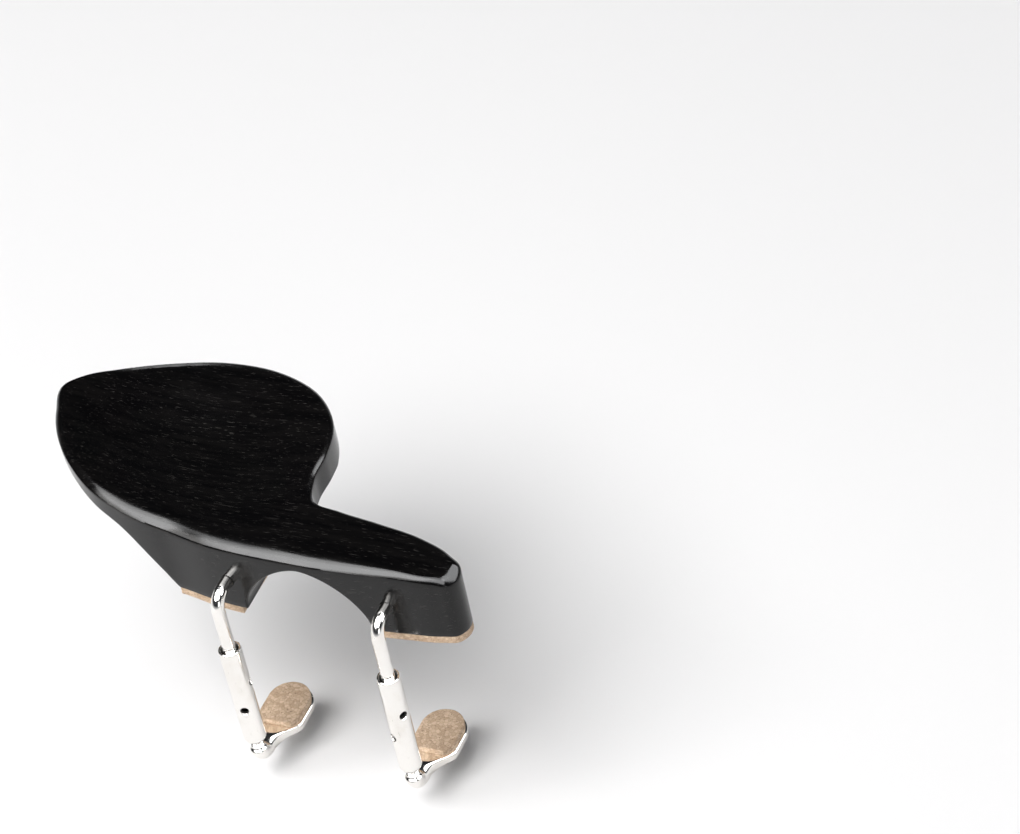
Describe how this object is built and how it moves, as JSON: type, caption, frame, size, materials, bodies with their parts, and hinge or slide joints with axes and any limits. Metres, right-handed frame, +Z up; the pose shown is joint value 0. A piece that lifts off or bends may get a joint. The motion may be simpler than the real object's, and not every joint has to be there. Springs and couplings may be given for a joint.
{
  "type": "violin chin rest",
  "caption": "Carved side-cup chin rest with cork pads and turnbuckle clamp legs that grip the edge of a violin body at the tail.",
  "frame": {"origin": "midway between the two clamp legs, on the instrument's top, in the plane of the end of the instrument's body", "axes": "+X across the tail towards the treble side, +Y from the tail towards the neck, +Z up off the instrument's top"},
  "size_m": [0.1123, 0.0638, 0.0659],
  "materials": {
    "ebony": "satin polished ebony with fine open pores",
    "cork": "fine-grained sheet cork",
    "nickel": "polished nickel plate",
    "screw": "plain steel wood screw"
  },
  "bodies": {
    "plate": {"chin_plate": "ebony", "cork_pad_left": "cork", "cork_pad_right": "cork", "hook_left": "nickel", "hook_right": "nickel", "hook_screw_left": "screw", "hook_screw_right": "screw"},
    "barrel_left": {"barrel_left": "nickel"},
    "barrel_right": {"barrel_right": "nickel"},
    "foot_left": {"foot_left": "nickel", "foot_cork_left": "cork"},
    "foot_right": {"foot_right": "nickel", "foot_cork_right": "cork"}
  },
  "joints": [
    {"name": "barrel_left_spin", "type": "hinge", "parent": "plate", "child": "barrel_left", "pos_m": [-0.0192, -0.0072, -0.0192], "axis": [0, 0, 1], "range_deg": [-1620, 720]},
    {"name": "barrel_right_spin", "type": "hinge", "parent": "plate", "child": "barrel_right", "pos_m": [0.0192, -0.0072, -0.0192], "axis": [0, 0, 1], "range_deg": [-1620, 720]},
    {"name": "foot_left_slide", "type": "slide", "parent": "plate", "child": "foot_left", "axis": [0, 0, 1], "range_m": [-0.0045, 0.002]},
    {"name": "foot_right_slide", "type": "slide", "parent": "plate", "child": "foot_right", "axis": [0, 0, 1], "range_m": [-0.0045, 0.002]}
  ],
  "couplings": [
    {"joint": "barrel_left_spin", "follows": "foot_left_slide", "rad_per_m": 6283},
    {"joint": "barrel_right_spin", "follows": "foot_right_slide", "rad_per_m": 6283}
  ]
}
